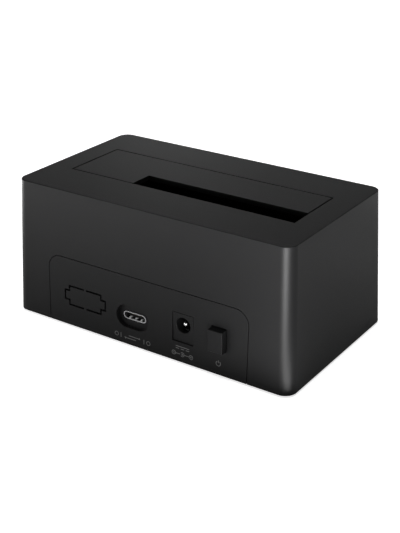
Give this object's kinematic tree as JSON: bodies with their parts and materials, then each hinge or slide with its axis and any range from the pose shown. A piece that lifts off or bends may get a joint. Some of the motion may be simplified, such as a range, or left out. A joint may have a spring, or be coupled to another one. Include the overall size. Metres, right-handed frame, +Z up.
{
  "type": "hard drive docking station",
  "caption": "Desktop dock for a bare hard drive: a low black box with a sprung flap and slot in its top over an upright drive socket, and power and data sockets in its rear face.",
  "frame": {"origin": "on the surface that the dock stands on, under the middle of its whole box, which includes the button that stands out of the rear face", "axes": "+X along the long side, +Y out of the rear face with the sockets, +Z up"},
  "size_m": [0.1354, 0.0802, 0.0596],
  "materials": {
    "case_black": "fine satin moulded texture",
    "panel_black": "fine satin moulded texture",
    "flap_black": "fine satin moulded texture",
    "button_black": "satin moulded",
    "liner_black": "matt moulded",
    "foot_rubber": "matt",
    "socket_black": "smooth moulded",
    "plunger_white": "smooth moulded",
    "contact_gold": "gold plated",
    "plated_steel": "nickel plated",
    "spring_steel": "drawn wire",
    "screw_steel": "black zinc",
    "board_green": "solder mask over glass laminate",
    "chip_black": "moulded epoxy",
    "ferrite_grey": "pressed ferrite",
    "can_aluminium": "drawn can",
    "lamp_white": "smooth",
    "clear_plastic": "polished",
    "print_grey": "pad printed ink"
  },
  "bodies": {
    "housing": {"base_plate": "case_black", "bay_liner": "liner_black", "board_screws": "screw_steel", "bridge_chip": "chip_black", "case_screws": "screw_steel", "clock_crystal": "plated_steel", "dc_jack_body": "socket_black", "dc_jack_pin": "plated_steel", "dc_jack_spring": "plated_steel", "dc_jack_terminal": "plated_steel", "drive_cradle": "liner_black", "filter_capacitors": "can_aluminium", "firmware_chip": "chip_black", "flap_hinge_rod": "spring_steel", "housing_shell": "case_black", "light_pipe": "clear_plastic", "liner_screws": "screw_steel", "main_pcb": "board_green", "power_inductors": "ferrite_grey", "power_switch_body": "socket_black", "rear_io_panel": "panel_black", "rubber_feet": "foot_rubber", "sata_contacts": "contact_gold", "sata_socket": "socket_black", "status_led": "lamp_white", "switch_spring": "spring_steel", "switch_terminals": "plated_steel", "usb_c_contacts": "contact_gold", "usb_c_core": "socket_black", "usb_c_shell": "plated_steel", "voltage_regulator": "chip_black"},
    "flap": {"bay_flap": "flap_black", "flap_spring_left": "spring_steel", "flap_spring_right": "spring_steel"},
    "button": {"power_button": "button_black", "switch_plunger": "plunger_white"}
  },
  "joints": [
    {"name": "flap_hinge", "type": "hinge", "parent": "housing", "child": "flap", "pos_m": [0, -0.01495, 0.0573], "axis": [-1, 0, 0], "range_deg": [0, 90], "stiffness_Nm_per_rad": 0.006, "springref_deg": -34.38, "deforming": ["flap_spring_left", "flap_spring_right"]},
    {"name": "power_button_slide", "type": "slide", "parent": "housing", "child": "button", "axis": [0, -1, 0], "range_m": [0, 0.002], "stiffness_N_per_m": 600, "springref_m": -0.001, "deforming": ["switch_spring"]}
  ]
}
